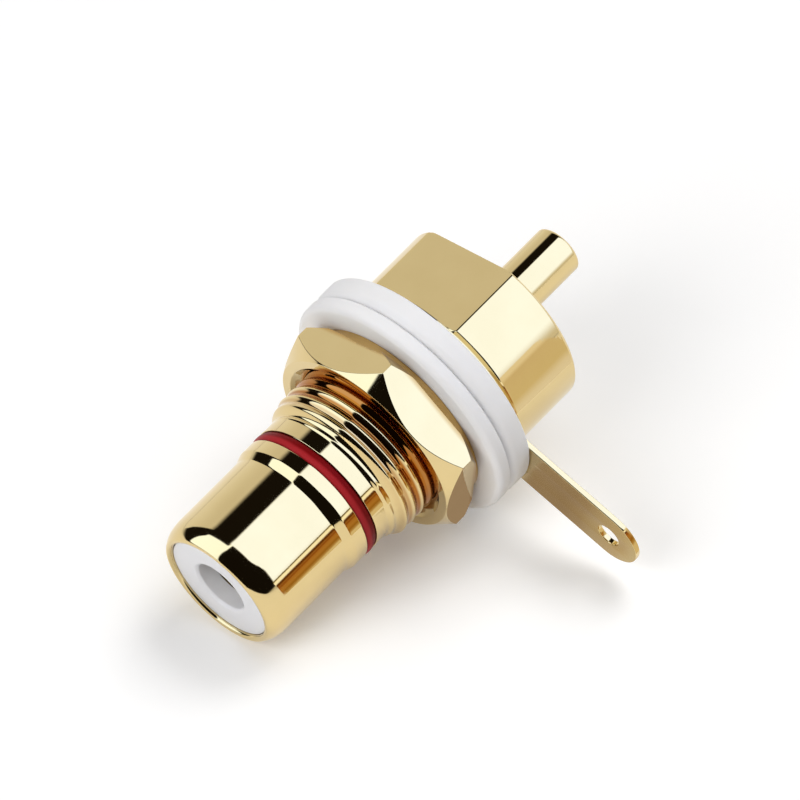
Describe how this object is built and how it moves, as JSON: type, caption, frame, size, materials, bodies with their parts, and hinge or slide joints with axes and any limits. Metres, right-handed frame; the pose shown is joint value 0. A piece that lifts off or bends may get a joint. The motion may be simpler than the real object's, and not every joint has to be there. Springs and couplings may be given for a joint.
{
  "type": "rca socket",
  "caption": "Panel-mount phono socket: turned shell with a threaded barrel, insulated centre contact, hex nut, insulating washers and a solder lug.",
  "frame": {"origin": "on the socket's axis, at the panel plane between the two insulating washers", "axes": "-Y along the axis towards the nose, where the plug enters; +Z out of the upper wrench flat; the solder lug reaches towards +X and a little down"},
  "size_m": [0.021, 0.0286, 0.0158],
  "materials": {
    "gold_plate": "polished gold plate on brass",
    "white_nylon": "satin moulded nylon",
    "white_ptfe": "smooth turned PTFE",
    "red_ring": "glossy red"
  },
  "bodies": {
    "socket": {"connector_shell": "gold_plate", "front_insulator": "white_ptfe", "centre_contact": "gold_plate", "rear_insulator": "white_ptfe", "marker_ring": "red_ring", "rear_washer": "white_nylon"},
    "clamp_washer": {"front_washer": "white_nylon"},
    "nut": {"hex_nut": "gold_plate"},
    "lug": {"solder_lug": "gold_plate"}
  },
  "joints": [
    {"name": "panel_gap", "type": "slide", "parent": "socket", "child": "clamp_washer", "axis": [0, -1, 0], "range_m": [0, 0.0028]},
    {"name": "nut_turn", "type": "hinge", "parent": "clamp_washer", "child": "nut", "pos_m": [0, -0.00234, 0], "axis": [0, -1, 0], "range_deg": [0, 1440]},
    {"name": "lug_swivel", "type": "hinge", "parent": "socket", "child": "lug", "pos_m": [0, 0.00178, 0], "axis": [0, -1, 0], "continuous": true}
  ],
  "couplings": [
    {"joint": "nut_turn", "follows": "panel_gap", "rad_per_m": 8976}
  ]
}
